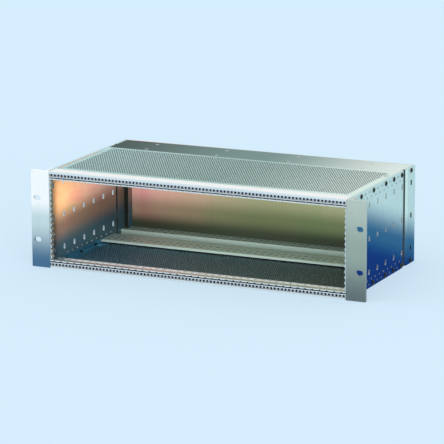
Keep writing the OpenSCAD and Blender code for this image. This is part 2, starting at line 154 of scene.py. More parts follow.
class CageColours(bpy.types.PropertyGroup):
    """Colours of the finishes as they look under plain light. The fades and the runs across the cage
    hold painted reflection and shade, the walls of the slots painted light, and the posts, holes and
    grooves painted shade.
    """

    left_reflection_head: colour("Left flange, top", "Left flange at its top", 254, 255, 255)
    left_reflection_waist: colour("Left flange, middle", "Left flange half way up", 204, 222, 224)
    left_reflection_foot: colour("Left flange, bottom", "Left flange at its foot", 70, 112, 144)
    right_reflection_head: colour("Right flange, top", "Right flange at its top", 186, 200, 190)
    right_reflection_waist: colour("Right flange, middle", "Right flange half way up", 152, 170, 160)
    right_reflection_foot: colour("Right flange, bottom", "Right flange at its foot", 100, 114, 116)
    side_reflection_head: colour("Side plate, top", "Outside of a side plate at its top", 234, 252, 236)
    side_reflection_waist: colour("Side plate, middle", "Outside half way up", 72, 120, 150)
    side_reflection_foot: colour("Side plate, bottom", "Outside at its foot", 16, 58, 128)
    lining_front: colour("Lining, front", "Chromated inside near the front", 248, 184, 128)
    lining_back: colour("Lining, back", "Chromated inside near the back", 255, 206, 198)
    lining_shade_waist: colour("Lining, middle", "Inside of a side plate half way up", 120, 96, 80)
    lining_shade_foot: colour("Lining, foot", "Inside of a side plate near the floor", 50, 74, 84)
    post_shade: colour("Posts", "Front of the posts in the rear corners", 74, 80, 70)
    slot: colour("Slot walls", "Bright walls of the cooling slots", 236, 242, 244)
    rail: colour("Rails", "Extruded rails", 240, 244, 243)
    # Painted shade and reflection: a darker, greener copy of the rail colour for the rails inside the
    # cage
    rail_inside: colour("Inner rails", "Guide rails behind the cards", 176, 198, 188)
    shade: colour("Holes and grooves", "Dark inside of threaded holes, channels and slots", 8, 12, 20)
    strip: colour("Threaded strip", "Zinc plated strip in a front rail", 205, 210, 216)
    roof_left: colour("Top cover, left", "Perforated top cover on its left", 196, 228, 230)
    roof_middle: colour("Top cover, middle", "Perforated top cover in the middle", 182, 212, 208)
    roof_right: colour("Top cover, right", "Perforated top cover on its right", 240, 255, 250)
    floor_left: colour("Bottom cover, left", "Perforated bottom cover on its left", 84, 156, 190)
    floor_middle: colour("Bottom cover, middle", "Perforated bottom cover in the middle", 104, 134, 146)
    floor_right: colour("Bottom cover, right", "Perforated bottom cover on its right", 104, 116, 114)
    hole: colour("Perforation", "Walls of the fine holes", 36, 54, 62)
    back_left: colour("Plain cover, left", "Plain cover on its left", 10, 46, 42)
    back_middle: colour("Plain cover, middle", "Plain cover in the middle", 118, 148, 146)
    back_right: colour("Plain cover, right", "Plain cover on its right", 248, 255, 252)
    panel_left: colour("Rear panel, left", "Chromated rear panel on its left", 240, 178, 168)
    panel_middle: colour("Rear panel, middle", "Rear panel in the middle", 148, 150, 112)
    panel_right: colour("Rear panel, right", "Rear panel on its right", 180, 186, 144)
    panel_shade_foot: colour("Rear panel, foot", "Rear panel near the floor", 46, 54, 40)
    spring: colour("Contact springs", "Bright spring strip", 214, 222, 220)
    gasket: colour("Shielding strip", "Strip in the joint of the side plates", 24, 38, 42)
    black: colour("Black screws", "Black oxide", 14, 15, 17)
    zinc: colour("Plated screws", "Zinc plating", 196, 202, 206)


class CageStudio(bpy.types.PropertyGroup):
    """Camera, lamps and backdrop."""

    backdrop: colour("Backdrop", "Floor and background", 214, 237, 253)
    camera_place: bpy.props.FloatVectorProperty(
        name="Camera place", description="Where the camera stands",
        default=(1.5493, -3.3899, 0.91955), subtype="XYZ", unit="LENGTH",
    )
    camera_turn: bpy.props.FloatProperty(
        name="Camera turn", description="How far the camera turns left of straight ahead",
        default=math.radians(24.76), subtype="ANGLE",
    )
    camera_dip: bpy.props.FloatProperty(
        name="Camera dip", description="How far the camera looks down",
        default=math.radians(13.01), subtype="ANGLE",
    )
    camera_lean: bpy.props.FloatProperty(
        name="Camera lean", description="Roll of the camera",
        default=math.radians(-0.22), subtype="ANGLE",
    )
    focal_length: bpy.props.FloatProperty(
        name="Focal length", description="Lens on a 36 mm sensor, in millimetres",
        default=230.6, min=20.0,
    )
    sky: bpy.props.FloatProperty(
        name="Sky", description="Even light from all round", default=1.0, min=0.0
    )
    key_light: bpy.props.FloatProperty(
        name="Key light", description="Soft light from above on the left", default=0.35, min=0.0
    )
    front_light: bpy.props.FloatProperty(
        name="Front light", description="Soft light into the open front", default=3.4, min=0.0
    )
    fill_light: bpy.props.FloatProperty(
        name="Fill light", description="Soft light inside, in watts", default=0.56, min=0.0
    )
    fill_width: length("Fill width", "Width of the lamp for the inside", 0.4)
    fill_height: length("Fill height", "Height of that lamp", 0.1)
    fill_depth: length("Fill depth", "From the face of the flanges back to that lamp", 0.014)


# Node helpers ------------------------------------------------------------------


class Graph:
    """Adds nodes to a tree. An input given as a socket is linked, anything else is its value."""

    def __init__(self, tree):
        self.tree = tree

    def add(self, kind, inputs=None, **settings):
        made = self.tree.nodes.new(kind)
        for key, value in settings.items():
            setattr(made, key, value)
        for key, value in (inputs or {}).items():
            self.join(value, made.inputs[key])
        return made

    def join(self, value, socket):
        if isinstance(value, bpy.types.NodeSocket):
            self.tree.links.new(value, socket)
        elif socket.type == "RGBA" and len(value) == 3:
            socket.default_value = (*value, 1.0)
        else:
            socket.default_value = value

    def maths(self, operation, first, second=0.0, clamp=False):
        return self.add(
            "ShaderNodeMath", {0: first, 1: second}, operation=operation, use_clamp=clamp
        ).outputs[0]

    def between(self, value, low, high):
        """1 where the value lies between low and high, and 0 elsewhere."""
        above = self.maths("GREATER_THAN", value, low)
        return self.maths("MULTIPLY", above, self.maths("LESS_THAN", value, high))

    def ramp(self, value, low, high, low_to=0.0, high_to=1.0):
        """The value carried from low..high to low_to..high_to, smoothly and held at both ends."""
        made = self.add(
            "ShaderNodeMapRange", {0: value, 1: low, 2: high, 3: low_to, 4: high_to},
            interpolation_type="SMOOTHSTEP",
        )
        return made.outputs[0]

    def mix(self, factor, first, second, blend="MIX"):
        made = self.add("ShaderNodeMix", data_type="RGBA", blend_type=blend)
        self.join(factor, made.inputs[0])
        self.join(first, made.inputs[6])
        self.join(second, made.inputs[7])
        return made.outputs[2]

    def group(self, name, **inputs):
        made = self.add("ShaderNodeGroup", node_tree=shader_group(name))
        for key, value in inputs.items():
            self.join(value, made.inputs[key.replace("_", " ").capitalize()])
        return made.outputs


SOCKETS = {
    "colour": "NodeSocketColor",
    "value": "NodeSocketFloat",
    "vector": "NodeSocketVector",
}
GROUPS = {}


def shader_group(name):
    """The node group of that name, built the first time that it is asked for."""
    if name not in bpy.data.node_groups:
        inputs, outputs, build = GROUPS[name]
        tree = bpy.data.node_groups.new(name, "ShaderNodeTree")
        for direction, sockets in (("INPUT", inputs), ("OUTPUT", outputs)):
            for label, kind in sockets.items():
                tree.interface.new_socket(label, in_out=direction, socket_type=SOCKETS[kind])
        graph = Graph(tree)
        given = graph.add("NodeGroupInput").outputs
        made = build(graph, given)
        graph.add("NodeGroupOutput", made)
    return bpy.data.node_groups[name]


def build_brushing(graph, given):
    """Fine parallel scratches: noise squeezed across one direction, as height and as a shade."""
    place = graph.add("ShaderNodeTexCoord").outputs["Object"]
    squeezed = graph.add("ShaderNodeMapping", {"Vector": place, "Scale": given["Density"]})
    fine = graph.add(
        "ShaderNodeTexNoise",
        {"Vector": squeezed.outputs[0], "Scale": 1.0, "Detail": 3.0, "Roughness": 0.6},
    ).outputs[0]
    broad = graph.add(
        "ShaderNodeTexNoise",
        {"Vector": squeezed.outputs[0], "Scale": 0.13, "Detail": 2.0, "Roughness": 0.5},
    ).outputs[0]
    both = graph.maths("ADD", graph.maths("MULTIPLY", fine, 0.6), graph.maths("MULTIPLY", broad, 0.4))
    bump = graph.add(
        "ShaderNodeBump",
        {"Strength": given["Depth"], "Distance": 0.2 * MM, "Height": both, "Normal": given["Normal"]},
    )
    return {"Shade": both, "Normal": bump.outputs[0]}


GROUPS["Brushing"] = (
    {"Density": "vector", "Depth": "value", "Normal": "vector"},
    {"Shade": "value", "Normal": "vector"},
    build_brushing,
)


def build_soft_edge(graph, given):
    """Normal rounded over the last part of a millimetre, and a mask that is 1 on the edge."""
    rounded = graph.add("ShaderNodeBevel", {"Radius": given["Radius"]}, samples=6).outputs[0]
    true_normal = graph.add("ShaderNodeNewGeometry").outputs["Normal"]
    alike = graph.add(
        "ShaderNodeVectorMath", {0: rounded, 1: true_normal}, operation="DOT_PRODUCT"
    ).outputs["Value"]
    mask = graph.ramp(alike, 0.995, 0.8)
    return {"Normal": rounded, "Edge": mask}


GROUPS["Soft edge"] = (
    {"Radius": "value"},
    {"Normal": "vector", "Edge": "value"},
    build_soft_edge,
)


def build_height_fade(graph, given):
    """Painted light and shade: colour from foot over waist to head between two heights, which the slope
    tilts backwards.
    """
    place = graph.add("ShaderNodeTexCoord").outputs["Object"]
    axes = graph.add("ShaderNodeSeparateXYZ", {0: place}).outputs
    height = graph.maths("ADD", axes["Z"], graph.maths("MULTIPLY", axes["Y"], given["Slope"]))
    lower = graph.ramp(height, given["Low"], given["Waist height"])
    upper = graph.ramp(height, given["Waist height"], given["High"])
    below = graph.mix(lower, given["Foot"], given["Waist"])
    return {"Colour": graph.mix(upper, below, given["Head"])}


GROUPS["Painted light fade"] = (
    {
        "Foot": "colour", "Waist": "colour", "Head": "colour",
        "Low": "value", "Waist height": "value", "High": "value", "Slope": "value",
    },
    {"Colour": "colour"},
    build_height_fade,
)


def build_chromate(graph, given):
    """Thin film of a chromate bath: broad cloudy bands that lean to pink and to green."""
    place = graph.add("ShaderNodeTexCoord").outputs["Object"]
    streaks = graph.add("ShaderNodeMapping", {"Vector": place, "Scale": given["Density"]}).outputs[0]
    cloud = graph.add(
        "ShaderNodeTexNoise", {"Vector": streaks, "Scale": 1.0, "Detail": 2.5, "Distortion": 0.4}
    ).outputs[0]
    pink = graph.maths("MULTIPLY", graph.ramp(cloud, 0.52, 0.72), given["Strength"])
    green = graph.maths("MULTIPLY", graph.ramp(cloud, 0.48, 0.3), given["Strength"])
    rosy = graph.mix(pink, given["Colour"], FILM_PINK, "MULTIPLY")
    return {"Colour": graph.mix(green, rosy, FILM_GREEN, "MULTIPLY")}


GROUPS["Chromate film"] = (
    {"Colour": "colour", "Density": "vector", "Strength": "value"},
    {"Colour": "colour"},
    build_chromate,
)


def new_material(name):
    """A material with nothing but a Principled shader, and its graph."""
    made = bpy.data.materials.new(name)
    made.use_nodes = True
    made.node_tree.nodes.clear()
    graph = Graph(made.node_tree)
    shader = graph.add("ShaderNodeBsdfPrincipled")
    graph.add("ShaderNodeOutputMaterial", {"Surface": shader.outputs[0]})
    return made, graph, shader


def brushed_metal(name, base, density, roughness=0.35, depth=0.25, edge=0.3 * MM,
                  metallic=BARE_METALLIC, shade=0.1, tint=(1.0, 1.0, 1.0)):
    """Brushed metal: the scratches vary its colour, its roughness and its normal a little.

    base(graph) gives the colour. metallic is a number, or a function of the graph
    where it changes over the surface. shade is how much the scratches darken.
    """
    made, graph, shader = new_material(name)
    soft = graph.group("Soft edge", radius=edge)
    brushing = graph.group("Brushing", density=density, depth=depth, normal=soft["Normal"])
    light = graph.ramp(brushing["Shade"], *SCRATCH_RANGE, 1.0 - shade, 1.0)
    grey = graph.add("ShaderNodeCombineColor", {0: light, 1: light, 2: light}).outputs[0]
    shaded = graph.mix(1.0, base(graph), grey, "MULTIPLY")
    # Painted highlight: the soft edge mask lightens the colour towards pale grey along every edge
    edge_lit = graph.mix(graph.maths("MULTIPLY", soft["Edge"], EDGE_HIGHLIGHT_SHARE), shaded, EDGE_HIGHLIGHT)
    rough = graph.ramp(brushing["Shade"], *SCRATCH_RANGE, roughness + ROUGHER, roughness - SMOOTHER)
    graph.join(edge_lit, shader.inputs["Base Color"])
    graph.join(rough, shader.inputs["Roughness"])
    graph.join(brushing["Normal"], shader.inputs["Normal"])
    graph.join(tint, shader.inputs["Specular Tint"])
    graph.join(metallic(graph) if callable(metallic) else metallic, shader.inputs["Metallic"])
    return made


def plain(value):
    """A base for brushed_metal that is one colour."""
    return lambda graph: value


def coordinates(graph):
    """The place on the object, as its X, Y and Z sockets."""
    place = graph.add("ShaderNodeTexCoord").outputs["Object"]
    return graph.add("ShaderNodeSeparateXYZ", {0: place}).outputs


def facing(graph):
    """The direction that the surface faces, as its X, Y and Z sockets."""
    normal = graph.add("ShaderNodeNewGeometry").outputs["Normal"]
    return graph.add("ShaderNodeSeparateXYZ", {0: normal}).outputs


def across(graph, left, middle, right):
    """Colour that runs from left over middle to right across the cage."""
    edge = CAD_BOX[1].x
    place = coordinates(graph)["X"]
    near_left = graph.mix(graph.ramp(place, -edge, 0.0), left, middle)
    return graph.mix(graph.ramp(place, 0.0, edge), near_left, right)


def painted_light_fade(head, waist, foot, low=0.0, middle=0.5, high=1.0, slope=0.0):
    """A base for brushed_metal with painted light and shade, fading from foot to head between shares of
    the cage's height.

    With a slope, the fade also moves down by that much for each metre towards the back.
    """
    height = CAD_BOX[1].z
    return lambda graph: graph.group(
        "Painted light fade", foot=foot, waist=waist, head=head,
        low=low * height, waist_height=middle * height, high=high * height, slope=slope,
    )["Colour"]


def wear(material, *nodes):
    """Puts one material on CAD nodes in the place of what they came with."""
    for name in nodes:
        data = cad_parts[name].data
        data.materials.clear()
        data.materials.append(material)


# New pieces ---------------------------------------------------------------------


def quads(a, b, c, d):
    """Two triangles for each quad a-b-c-d of vertex numbers."""
    a, b, c, d = (np.ravel(corner) for corner in (a, b, c, d))
    return np.concatenate([np.stack([a, b, c], -1), np.stack([a, c, d], -1)])


class FlatPattern:
    """A sheet drawn flat: points (s, y), which of them are folded up, and triangles."""

    def __init__(self):
        self.points = np.zeros((0, 2))
        self.folded = np.zeros(0, bool)
        self.triangles = []

    def add_points(self, s, y, folded=False):
        """Adds points given as arrays of one shape, and returns their numbers in that shape."""
        s, y = np.broadcast_arrays(s, y)
        start = len(self.points)
        self.points = np.concatenate([self.points, np.stack([s.ravel(), y.ravel()], -1)])
        self.folded = np.concatenate([self.folded, np.full(s.size, folded)])
        return (start + np.arange(s.size)).reshape(s.shape)

    def add_quads(self, *corners):
        self.triangles.append(quads(*corners))

    def add_triangles(self, *corners):
        self.triangles.append(np.stack([corner.ravel() for corner in corners], -1))

    def stitch(self, first, second, axis):
        """Triangles between two chains of points that both rise along axis.

        All points but the first of each chain are sorted along the axis, and each of
        them makes one triangle with the last point before it on either chain.
        """
        rising = np.concatenate([self.points[first[1:], axis], self.points[second[1:], axis]])
        on_first = np.argsort(rising, kind="stable") < len(first) - 1
        at_first = np.cumsum(on_first)
        at_second = np.cumsum(~on_first)
        new = np.where(on_first, first[at_first], second[at_second])
        before_first = first[at_first - on_first]
        before_second = second[at_second - ~on_first]
        self.triangles.append(np.stack([before_first, before_second, new], axis=-1))

    def turned_up(self):
        """All triangles, turned so that each one is anticlockwise in the flat pattern."""
        faces = np.concatenate(self.triangles)
        a, b, c = (self.points[faces[:, k]] for k in range(3))
        area = (b[:, 0] - a[:, 0]) * (c[:, 1] - a[:, 1]) - (b[:, 1] - a[:, 1]) * (c[:, 0] - a[:, 0])
        faces[area < 0] = faces[area < 0][:, ::-1]
        return faces


def add_perforation(pattern, half_width, front, back, pitch, size):
    """Staggered six-sided holes, and the four chains of corners round the field they fill.

    Row r lies at first_row + r * pitch * sin(60), and every second row is shifted by
    half a pitch and has one hole less. Corner k of a hole is at 30 + 60 k degrees.
    Between two holes lies a quad, and between three a triangle.
    """
    step = pitch * math.sin(math.radians(60))
    rows = int((back - front - size) / step) // 2 * 2 + 1
    columns = int((2 * half_width - size) / pitch) + 1
    first_row = (front + back - (rows - 1) * step) / 2
    row, column, corner = np.meshgrid(
        np.arange(rows), np.arange(columns), np.arange(6), indexing="ij"
    )
    angle = np.radians(30 + 60 * corner)
    s = (column - (columns - 1) / 2 + row % 2 / 2) * pitch + size / 2 * np.cos(angle)
    y = first_row + row * step + size / 2 * np.sin(angle)
    holes = pattern.add_points(s, y)
    wide, narrow = holes[0::2], holes[1::2, :-1]

    for line in (wide, narrow):
        here, right = line[:, :-1], line[:, 1:]
        pattern.add_quads(here[..., 0], here[..., 5], right[..., 3], right[..., 2])
    # A narrow row and the wide row before it, then behind it, as its mirror image
    for wide_row, turn in ((wide[:-1], 1), (wide[1:], -1)):
        left, right, peak = wide_row[:, :-1, ::turn], wide_row[:, 1:, ::turn], narrow[..., ::turn]
        pattern.add_quads(left[..., 0], left[..., 1], peak[..., 3], peak[..., 4])
        pattern.add_quads(right[..., 1], right[..., 2], peak[..., 4], peak[..., 5])
        pattern.add_triangles(left[..., 0], right[..., 2], peak[..., 4])
        pattern.add_triangles(peak[:, :-1, 5], peak[:, 1:, 3], left[:, 1:, 1])

    sides = []
    # Corners on the outline at the left end of a wide and a narrow row, then at the right end
    ends = ((0, [4, 3, 2, 1], [3, 2]), (-1, [4, 5, 0, 1], [5, 0]))
    for end, wide_corners, narrow_corners in ends:
        pairs = [wide[:-1, end][:, wide_corners], narrow[:, end][:, narrow_corners]]
        all_but_last = np.concatenate(pairs, axis=1).ravel()
        chain = np.concatenate([all_but_last, wide[-1, end][wide_corners]])
        sides.append(chain[1:-1])
    front_chain = holes[0][:, [3, 4, 5]].ravel()
    back_chain = holes[-1][:, [2, 1, 0]].ravel()
    return front_chain, back_chain, sides[0], sides[1]


def add_lip(pattern, side, sizes, bend, front, back, screws):
    """A folded lip: a grid over fold and lip, with a ring of 16 quads round each screw hole.

    Lines across the grid stand at even steps and at the quarters of a square round
    each hole. The cells of that square are left out, and the ring fills it up to the
    hole, each point of its rim drawn in towards the middle. Returns the lip's root.
    """
    bend_start, bend_end, middle, top = bend
    half = middle - bend_end
    quarters = half * np.linspace(-1, 1, 5)
    even = np.linspace(front, back, LIP_LINES)
    clear = np.abs(even[:, None] - screws).min(axis=1) > half * 1.2
    y = np.sort(np.concatenate([even[clear], *(screw + quarters for screw in screws)]))
    s = np.concatenate([np.linspace(bend_start, bend_end, FOLD_LINES), middle + quarters[1:], [top]])
    root = pattern.add_points(side * s[0], y)
    rest = pattern.add_points(side * s[1:, None], y[None, :], folded=True)
    grid = np.concatenate([root[None, :], rest])

    cell_s, cell_y = (s[1:] + s[:-1]) / 2, (y[1:] + y[:-1]) / 2
    near_screw = np.abs(cell_y[:, None] - screws).min(axis=1) < half
    keep = ~((np.abs(cell_s - middle) < half)[:, None] & near_screw[None, :])
    pattern.add_quads(grid[:-1, :-1][keep], grid[1:, :-1][keep], grid[1:, 1:][keep], grid[:-1, 1:][keep])
    low = int(np.argmin(np.abs(s - bend_end)))
    for screw in screws:
        left = int(np.argmin(np.abs(y - (screw - half))))
        square = grid[low:low + 5, left:left + 5]
        rim = np.concatenate([square[0, :-1], square[:-1, -1], square[-1, :0:-1], square[:0:-1, 0]])
        away = pattern.points[rim] - [side * middle, screw]
        away *= sizes.lip_hole / 2 / np.linalg.norm(away, axis=1)[:, None]
        hole = pattern.add_points(side * middle + away[:, 0], screw + away[:, 1], folded=True)
        pattern.add_quads(rim, np.roll(rim, -1), np.roll(hole, -1), hole)
    return root


def cover_pattern(sizes, half_width, front, back):
    """The whole perforated cover as a flat pattern: field, margins, four flat tabs and two lips."""
    pattern = FlatPattern()
    field = add_perforation(
        pattern, half_width - sizes.side_margin, front + sizes.front_margin,
        back - sizes.back_margin, sizes.hole_pitch, sizes.hole_size,
    )
    front_chain, back_chain, *side_chains = field
    bend_start = half_width - sizes.fold
    bend_end = bend_start + sizes.fold * math.pi / 2
    bend = (bend_start, bend_end, bend_end + sizes.screw_height - sizes.fold,
            bend_end + sizes.lip_height - sizes.fold)
    lip_front, lip_back = front + sizes.lip_front, back - sizes.lip_back
    screws = front + sizes.first_screw + sizes.screw_step * np.arange(LIP_SCREWS)
    edge = np.linspace(-bend_start, bend_start, EDGE_POINTS)
    front_edge, back_edge = (pattern.add_points(edge, y) for y in (front, back))
    for line, chain in ((front_edge, front_chain), (back_edge, back_chain)):
        pattern.stitch(line, chain, axis=0)
    for side, chain, end in ((-1, side_chains[0], 0), (1, side_chains[1], -1)):
        root = add_lip(pattern, side, sizes, bend, lip_front, lip_back, screws)
        line = np.concatenate([[front_edge[end]], root, [back_edge[end]]])
        pattern.stitch(line, chain, axis=1)
        for corner, inner, y in ((front_edge[end], root[0], (front, lip_front)),
                                 (back_edge[end], root[-1], (back, lip_back))):
            outer = pattern.add_points(side * half_width, np.array(y))
            pattern.add_quads(corner, outer[0], outer[1], inner)
    return pattern, bend_start


def fold_up(pattern, bend_start, fold, thickness):
    """Both faces of the sheet, bent from the flat pattern, and the walls between them.

    Past bend_start a folded point runs a quarter turn of radius fold and then straight
    up. The inner face lies the sheet's thickness inside it, about the same middle.
    """
    s, y = pattern.points.T
    past = np.where(pattern.folded, np.abs(s) - bend_start, 0.0)
    turn = np.clip(past / fold, 0, math.pi / 2)
    rise = np.maximum(past - fold * math.pi / 2, 0)
    flat_s = np.where(pattern.folded, bend_start, np.abs(s))
    layers = []
    for radius in (fold, fold - thickness):
        x = np.sign(s) * (flat_s + radius * np.sin(turn))
        z = fold - radius * np.cos(turn) + rise
        layers.append(np.stack([x, y, z], axis=-1))
    up = pattern.turned_up()
    count = len(s)
    start, end = up.ravel(), np.roll(up, -1, axis=1).ravel()
    open_edge = ~np.isin(end * count + start, start * count + end)
    start, end = start[open_edge], end[open_edge]
    walls = quads(start, end, end + count, start + count)
    faces = np.concatenate([up[:, ::-1], up + count, walls])
    used, numbers = np.unique(faces, return_inverse=True)
    return np.concatenate(layers)[used], numbers.reshape(-1, 3)


def new_piece(name, points, faces):
    """A mesh object from arrays of points and triangles, in the row frame, smooth below 30 degrees."""
    mesh = bpy.data.meshes.new(name)
    mesh.from_pydata(points.tolist(), [], faces.tolist())
    mesh.shade_smooth()
    mesh.set_sharp_from_angle(angle=math.radians(30))
    mesh.update()
    made = bpy.data.objects.new(name, mesh)
    bpy.context.scene.collection.objects.link(made)
    return made


# Operators ------------------------------------------------------------------------


class FinishOperator:
    """What the operators below share."""

    bl_options = {"REGISTER", "UNDO"}

    @property
    def colours(self):
        return bpy.context.scene.cage_colours

    @property
    def sizes(self):
        return bpy.context.scene.cage_sizes


class CAGE_OT_flanges(FinishOperator, bpy.types.Operator):
    """Vertically brushed metal on the flanges, with a painted reflection running down each"""

    bl_idname = "cage.flanges"
    bl_label = "Flanges"

    def execute(self, context):
        c = self.colours
        # Painted reflection: the left flange runs from white at the top to blue at the foot, the right
        # one from pale grey to darker grey
        painted_reflections = {
            "left": painted_light_fade(c.left_reflection_head, c.left_reflection_waist, c.left_reflection_foot, low=0.05, high=0.7),
            "right": painted_light_fade(c.right_reflection_head, c.right_reflection_waist, c.right_reflection_foot),
        }
        for side, base in painted_reflections.items():
            metal = brushed_metal(
                f"flange_metal_{side}", base, (9000, 9000, 120), roughness=0.38, metallic=0.5
            )
            wear(metal, f"flange_{side}")
        return {"FINISHED"}


class CAGE_OT_sides(FinishOperator, bpy.types.Operator):
    """Satin outside and chromated inside on side plates and rear brackets, dark strip between them"""

    bl_idname = "cage.sides"
    bl_label = "Side plates"

    def execute(self, context):
        c = self.colours
        metal = brushed_metal(
            "side_metal", self.base, (900, 900, 900), roughness=0.34, depth=0.12, metallic=self.bare,
            tint=SIDE_TINT,
        )
        wear(metal, *(f"{name}_{side}" for name in ("side_plate", "rear_bracket") for side in SIDES))
        strip = brushed_metal(
            "shield_strip", plain(c.gasket), (4000, 4000, 4000), roughness=0.7, metallic=0.0
        )
        wear(strip, *(f"joint_strip_{side}" for side in SIDES))
        return {"FINISHED"}

    def base(self, graph):
        """A painted reflection fading down outside, a fade to painted shade inside, painted light on the
        walls of the slots, and painted shade on the fronts of the posts.
        """
        c = self.colours
        # Painted reflection outside: pale mint at the top, running to deep blue at the foot, set lower
        # towards the back
        outside = painted_light_fade(
            c.side_reflection_head, c.side_reflection_waist, c.side_reflection_foot, low=0.2, middle=0.46, high=0.82, slope=0.33
        )(graph)
        front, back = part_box("side_plate_left")[0].y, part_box("rear_bracket_left")[1].y
        behind = graph.ramp(coordinates(graph)["Y"], front, back)
        bright = graph.mix(behind, c.lining_front, c.lining_back)
        lining = painted_light_fade(
            # Painted shade inside: the chromate film's colour darkens half way down and more near the
            # floor
            bright, c.lining_shade_waist, c.lining_shade_foot, low=0.2, middle=0.42, high=0.72, slope=-0.05
        )(graph)
        film = graph.group(
            "Chromate film", colour=lining, density=(30, 18, 60), strength=0.6
        )["Colour"]
        painted = graph.mix(self.inside(graph), outside, film)
        # Faces that look to the front: painted light on the walls of the slots in front of the rear
        # brackets, for light seen through the slots, and painted shade on the fronts of the posts from
        # there back
        bracket_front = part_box("rear_bracket_left")[0].y
        behind = graph.maths("GREATER_THAN", coordinates(graph)["Y"], bracket_front - MM)
        painted_fronts = graph.mix(behind, c.slot, c.post_shade)
        return graph.mix(graph.maths("LESS_THAN", facing(graph)["Y"], -0.5), painted, painted_fronts)

    def inside(self, graph):
        """1 on faces that look into the cage."""
        side = graph.maths("SIGN", coordinates(graph)["X"])
        outwards = graph.maths("MULTIPLY", facing(graph)["X"], side)
        return graph.maths("LESS_THAN", outwards, -0.5)

    def bare(self, graph):
        """Bare metal outside, and the half matt chromate film inside."""
        return graph.ramp(self.inside(graph), 0.0, 1.0, BARE_METALLIC, FILM_METALLIC)


class CAGE_OT_rails(FinishOperator, bpy.types.Operator):
    """Bright extruded metal on the rails, plated strips, and spring strips at the sides"""

    bl_idname = "cage.rails"
    bl_label = "Rails and strips"

    def execute(self, context):
        c = self.colours
        extruded = (60, 9000, 9000)
        front = brushed_metal("rail_metal", self.channel, extruded, roughness=0.3, depth=0.2)
        wear(front, *(f"front_rail_{level}" for level in LEVELS))
        for name in ("middle", "rear"):
            inner = brushed_metal(
                f"{name}_rail_metal", lambda graph: self.slotted(graph, name), extruded,
                roughness=0.32, metallic=0.5,
            )
            wear(inner, *(f"{name}_rail_{level}" for level in LEVELS))
        strip = brushed_metal("strip_metal", self.bored, extruded, roughness=0.3)
        wear(strip, *(f"threaded_strip_{level}" for level in LEVELS))
        spring = brushed_metal("contact_spring", plain(c.spring), (3000, 3000, 3000), roughness=0.22)
        wear(spring, *(f"contact_strip_{side}" for side in SIDES))
        return {"FINISHED"}

    def slotted(self, graph, name):
        """The rail's outside is bright, and the walls of its slots are dark with painted shade."""
        c = self.colours
        low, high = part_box(f"{name}_rail_bottom")
        wall = graph.maths("LESS_THAN", graph.maths("ABSOLUTE", facing(graph)["Z"]), 0.5)
        within = graph.between(coordinates(graph)["Y"], low.y + SLOT_INSET, high.y - SLOT_INSET)
        return graph.mix(graph.maths("MULTIPLY", wall, within), c.rail_inside, c.shade)

    def bored(self, graph):
        """The strip's face is plated, and what does not face the front or the back is dark with painted
        shade.
        """
        c = self.colours
        wall = graph.maths("LESS_THAN", graph.maths("ABSOLUTE", facing(graph)["Y"]), 0.5)
        return graph.mix(wall, c.strip, c.shade)

    def channel(self, graph):
        """The rail's outside is bright, and the channel and groove just behind its face are dark with
        painted shade.
        """
        c = self.colours
        place = coordinates(graph)
        depths = (CAD_BOX[0].y + depth for depth in CHANNEL_DEPTHS)
        behind_face = graph.between(place["Y"], *depths)
        middle = (CAD_BOX[0].z + CAD_BOX[1].z) / 2
        from_middle = graph.maths("ABSOLUTE", graph.maths("SUBTRACT", place["Z"], middle))
        from_outside = graph.maths("SUBTRACT", middle, from_middle)
        in_channel = graph.between(from_outside, *CHANNEL_HEIGHTS)
        dark = graph.maths("MULTIPLY", behind_face, in_channel)
        return graph.mix(dark, c.rail, c.shade)


class CAGE_OT_covers(FinishOperator, bpy.types.Operator):
    """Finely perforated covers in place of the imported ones, and the plain covers behind them"""

    bl_idname = "cage.covers"
    bl_label = "Covers"

    def execute(self, context):
        c = self.colours
        sizes = self.sizes
        brushed = (60, 7000, 7000)
        # Painted reflection and shade: each perforated cover runs through three colours from left to
        # right
        painted_cover_runs = {
            "bottom": (c.floor_left, c.floor_middle, c.floor_right),
            "top": (c.roof_left, c.roof_middle, c.roof_right),
        }
        low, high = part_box("perforated_cover_bottom")
        pattern, bend_start = cover_pattern(sizes, high.x, low.y, high.y)
        points, faces = fold_up(pattern, bend_start, sizes.fold, sizes.sheet)
        roof = points * [1, 1, -1] + [0, 0, CAD_BOX[1].z]
        for level, shape, winding in (("bottom", points, faces), ("top", roof, faces[:, ::-1])):
            painted_run = painted_cover_runs[level]
            sheet = brushed_metal(
                f"cover_metal_{level}", lambda graph: self.pierced(graph, painted_run), brushed,
                roughness=0.4, edge=0.2 * MM, tint=COVER_TINT,
            )
            cover = new_piece(f"fine_cover_{level}", shape, winding)
            cover.data.materials.append(sheet)
            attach(cover, "root")
            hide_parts(f"perforated_cover_{level}")
        # Painted reflection: the plain covers run from near black on the left to near white on the right
        plain_sheet = brushed_metal(
            "plain_cover_metal", lambda graph: across(graph, c.back_left, c.back_middle, c.back_right),
            brushed, roughness=0.38, tint=COVER_TINT,
        )
        wear(plain_sheet, *(f"rear_cover_{level}" for level in LEVELS))
        return {"FINISHED"}

    def pierced(self, graph, painted_run):
        """Three colours of painted reflection and shade across the sheet, with painted shade on the
        walls in the holes of the perforation.
        """
        low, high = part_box("perforated_cover_bottom")
        wall = graph.maths("LESS_THAN", graph.maths("ABSOLUTE", facing(graph)["Z"]), 0.3)
        place = coordinates(graph)
        edge = high.x - 0.5 * self.sizes.side_margin
        front = low.y + 0.5 * self.sizes.front_margin
        back = high.y - 0.5 * self.sizes.back_margin
        field = graph.maths(
            "MULTIPLY", graph.between(place["X"], -edge, edge), graph.between(place["Y"], front, back)
        )
        sheet = across(graph, *painted_run)
        return graph.mix(graph.maths("MULTIPLY", wall, field), sheet, self.colours.hole)


